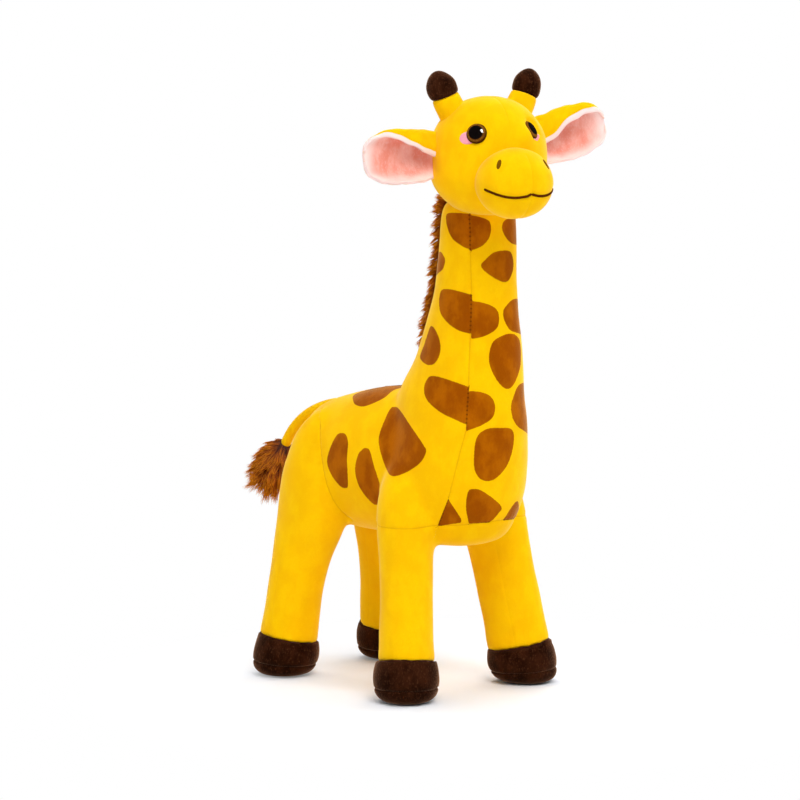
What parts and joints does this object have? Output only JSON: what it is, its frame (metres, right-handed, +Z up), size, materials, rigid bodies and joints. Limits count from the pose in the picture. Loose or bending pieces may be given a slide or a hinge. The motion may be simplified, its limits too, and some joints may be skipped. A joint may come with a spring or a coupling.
{
  "type": "plush giraffe",
  "caption": "Standing stuffed plush giraffe with a long neck, floppy ears, short horns, a fur mane and a tufted tail; the head turns, the ears flap and the tail lifts.",
  "frame": {"origin": "on the floor, at the middle of the box round the whole toy", "axes": "+Z is up; the giraffe faces -Y and its right side is at -X"},
  "size_m": [0.182, 0.3084, 0.4186],
  "materials": {
    "yellow_plush": "short yellow pile",
    "dark_brown_plush": "short dark brown pile",
    "brown_fur": "long orange-brown fur",
    "pink_plush": "short pink pile",
    "pink_felt": "thin pink felt",
    "brown_thread": "embroidery thread",
    "eye_plastic": "polished, dark brown with a black pupil",
    "white_plastic": "as moulded"
  },
  "bodies": {
    "body": {"torso": "yellow_plush", "neck": "yellow_plush", "front_leg_right": "yellow_plush", "front_hoof_right": "dark_brown_plush", "front_sole_right": "dark_brown_plush", "rear_leg_right": "yellow_plush", "rear_hoof_right": "dark_brown_plush", "rear_sole_right": "dark_brown_plush", "front_leg_left": "yellow_plush", "front_hoof_left": "dark_brown_plush", "front_sole_left": "dark_brown_plush", "rear_leg_left": "yellow_plush", "rear_hoof_left": "dark_brown_plush", "rear_sole_left": "dark_brown_plush", "mane": "brown_fur"},
    "head": {"head": "yellow_plush", "muzzle": "yellow_plush", "eye_right": "eye_plastic", "eye_washer_right": "white_plastic", "blush_patch_right": "pink_felt", "nostril_right": "brown_thread", "horn_stem_right": "yellow_plush", "horn_tip_right": "dark_brown_plush", "mouth_right": "brown_thread", "eye_left": "eye_plastic", "eye_washer_left": "white_plastic", "blush_patch_left": "pink_felt", "nostril_left": "brown_thread", "horn_stem_left": "yellow_plush", "horn_tip_left": "dark_brown_plush", "mouth_left": "brown_thread"},
    "ear_right": {"ear_right": "yellow_plush", "ear_lining_right": "pink_plush"},
    "ear_left": {"ear_left": "yellow_plush", "ear_lining_left": "pink_plush"},
    "tail": {"tail": "yellow_plush"},
    "tuft": {"tail_tuft": "brown_fur"}
  },
  "joints": [
    {"name": "head_turn", "type": "hinge", "parent": "body", "child": "head", "pos_m": [0.0054, -0.0772, 0.365], "axis": [0, 0, 1], "range_deg": [-20, 40], "stiffness_Nm_per_rad": 0.3},
    {"name": "ear_right_flap", "type": "hinge", "parent": "head", "child": "ear_right", "pos_m": [-0.03665, -0.07309, 0.3608], "axis": [0.0173, -0.0024, 0.9998], "range_deg": [-40, 20], "stiffness_Nm_per_rad": 0.03},
    {"name": "ear_left_flap", "type": "hinge", "parent": "head", "child": "ear_left", "pos_m": [0.03918, -0.10222, 0.371], "axis": [0.313, -0.0897, -0.9455], "range_deg": [-25, 35], "stiffness_Nm_per_rad": 0.03},
    {"name": "tail_lift", "type": "hinge", "parent": "body", "child": "tail", "pos_m": [0.0054, 0.0693, 0.1868], "axis": [1, 0, 0], "range_deg": [0, 60], "stiffness_Nm_per_rad": 0.15},
    {"name": "tuft_swing", "type": "hinge", "parent": "tail", "child": "tuft", "pos_m": [0.0054, 0.1233, 0.1553], "axis": [0, 1, 0], "range_deg": [-25, 25], "stiffness_Nm_per_rad": 0.03}
  ]
}
